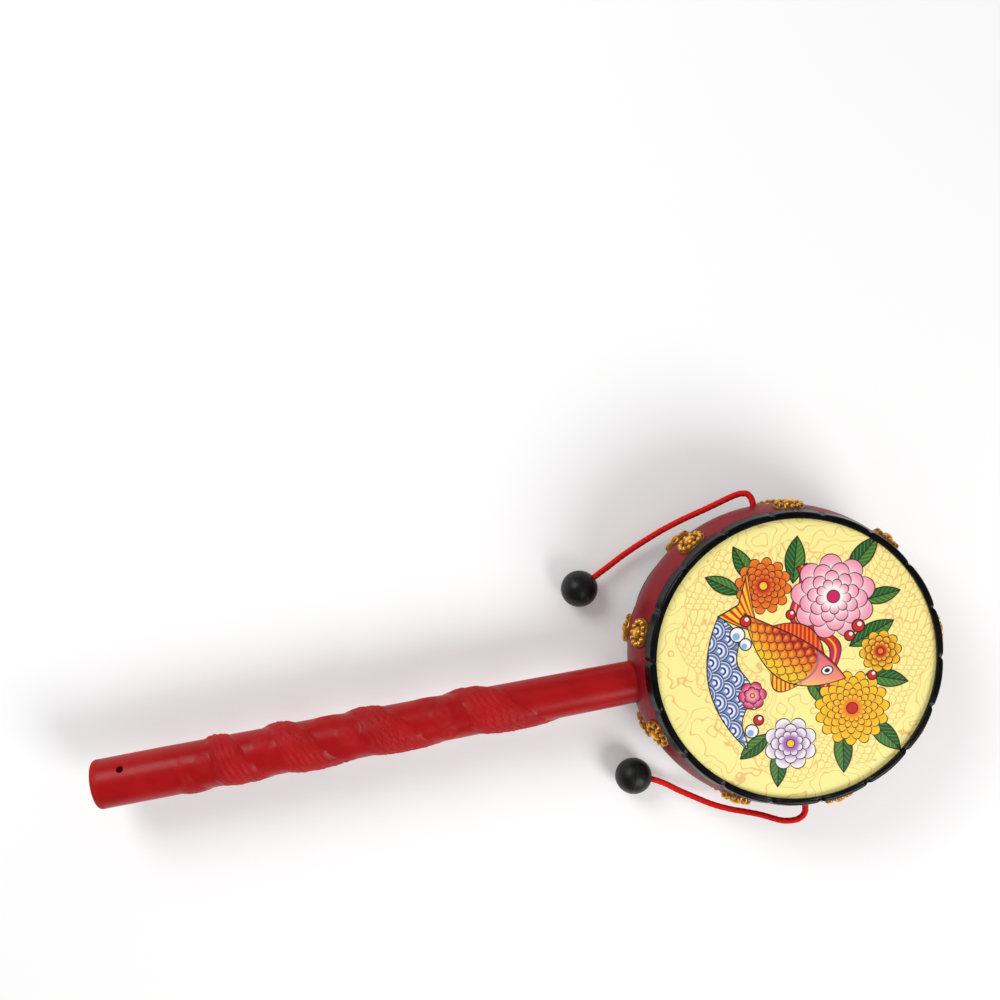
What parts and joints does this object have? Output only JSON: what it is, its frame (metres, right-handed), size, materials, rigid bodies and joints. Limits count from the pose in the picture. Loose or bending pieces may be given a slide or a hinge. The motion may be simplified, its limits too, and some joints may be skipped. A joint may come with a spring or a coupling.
{
  "type": "pellet drum rattle",
  "caption": "Hand rattle: a flat two-headed barrel drum on a straight moulded handle, with beads on a cord that swing round and strike the heads when the handle is twirled.",
  "frame": {"origin": "on the floor plane that the drum lies on, under the middle of the length of drum and handle", "axes": "+Z along the drum's axis towards the front head, -X along the handle, +Y towards the left cord"},
  "size_m": [0.2257, 0.0906, 0.031],
  "materials": {
    "shell_red": "moulded dark red, semi-gloss",
    "hoop_black": "moulded black, gloss",
    "head_film": "stretched pale yellow printed film, satin",
    "stud_gold": "gold lacquered plastic",
    "handle_red": "moulded red, semi-gloss",
    "cord_red": "twisted red cord",
    "bead_black": "moulded black, semi-gloss"
  },
  "bodies": {
    "drum": {"drum_shell": "shell_red", "front_hoop": "hoop_black", "rear_hoop": "hoop_black", "front_head": "head_film", "rear_head": "head_film", "handle": "handle_red", "front_stud_1": "stud_gold", "front_stud_2": "stud_gold", "front_stud_3": "stud_gold", "front_stud_4": "stud_gold", "front_stud_5": "stud_gold", "front_stud_6": "stud_gold", "front_stud_7": "stud_gold", "front_stud_8": "stud_gold", "front_stud_9": "stud_gold", "rear_stud_1": "stud_gold", "rear_stud_2": "stud_gold", "rear_stud_3": "stud_gold", "rear_stud_4": "stud_gold", "rear_stud_5": "stud_gold", "rear_stud_6": "stud_gold", "rear_stud_7": "stud_gold", "rear_stud_8": "stud_gold", "rear_stud_9": "stud_gold", "inner_cord": "cord_red"},
    "left_cord_link": {"left_cord_root": "cord_red"},
    "left_pellet": {"left_cord": "cord_red", "left_bead": "bead_black"},
    "right_cord_link": {"right_cord_root": "cord_red"},
    "right_pellet": {"right_cord": "cord_red", "right_bead": "bead_black"}
  },
  "joints": [
    {"name": "left_cord_spread", "type": "hinge", "parent": "drum", "child": "left_cord_link", "pos_m": [0.07169, 0.0423, 0.01525], "axis": [0, 0, -1], "range_deg": [0, 110]},
    {"name": "left_bead_beat", "type": "hinge", "parent": "left_cord_link", "child": "left_pellet", "pos_m": [0.06059, 0.04115, 0.0111], "axis": [-0.2873, 0.9578, 0], "range_deg": [-115, 130]},
    {"name": "right_cord_spread", "type": "hinge", "parent": "drum", "child": "right_cord_link", "pos_m": [0.07209, -0.0424, 0.0153], "axis": [0, 0, 1], "range_deg": [0, 110]},
    {"name": "right_bead_beat", "type": "hinge", "parent": "right_cord_link", "child": "right_pellet", "pos_m": [0.06039, -0.043, 0.0111], "axis": [0.2873, 0.9578, 0], "range_deg": [-115, 130]}
  ]
}
